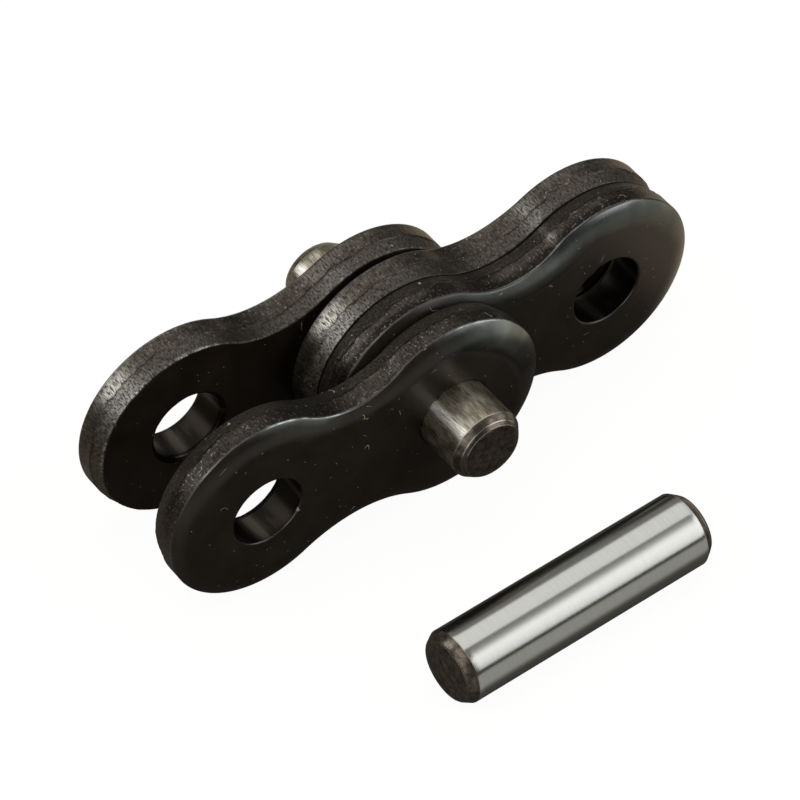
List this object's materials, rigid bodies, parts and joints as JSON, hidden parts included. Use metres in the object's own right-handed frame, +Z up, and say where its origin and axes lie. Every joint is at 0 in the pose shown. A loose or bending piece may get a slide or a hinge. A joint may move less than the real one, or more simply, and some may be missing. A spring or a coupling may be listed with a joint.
{
  "type": "chain connecting link",
  "caption": "Connecting link of a flat-link chain: outer plates on a driven pin with standing ends, inner plates that swing on it, and the loose second pin.",
  "frame": {"origin": "middle of the outer plates' open hole, midway through the stack of plates", "axes": "+X along the plates from the outer plates' open hole to the inner plates' open hole, +Y along the pins' axis to the rear, +Z up; the plates stand on edge one lobe radius below the origin"},
  "size_m": [0.0788, 0.0596, 0.0256],
  "materials": {
    "blackened_plate": "blanked, heat-treated and blackened steel plate, oiled, with rolled edges and torn flanks",
    "ground_pin": "ground steel pin with dark bevels and end faces"
  },
  "bodies": {
    "outer_link": {"outer_plate_front": "blackened_plate", "outer_plate_rear": "blackened_plate", "joint_pin": "ground_pin", "loose_pin": "ground_pin"},
    "inner_link_front": {"inner_plate_front": "blackened_plate"},
    "inner_link_rear": {"inner_plate_rear": "blackened_plate"}
  },
  "joints": [
    {"name": "front_plate_swing", "type": "hinge", "parent": "outer_link", "child": "inner_link_front", "pos_m": [0.0266, 0, 0], "axis": [0, -1, 0], "continuous": true},
    {"name": "rear_plate_swing", "type": "hinge", "parent": "outer_link", "child": "inner_link_rear", "pos_m": [0.0266, 0, 0], "axis": [0, -1, 0], "continuous": true}
  ]
}
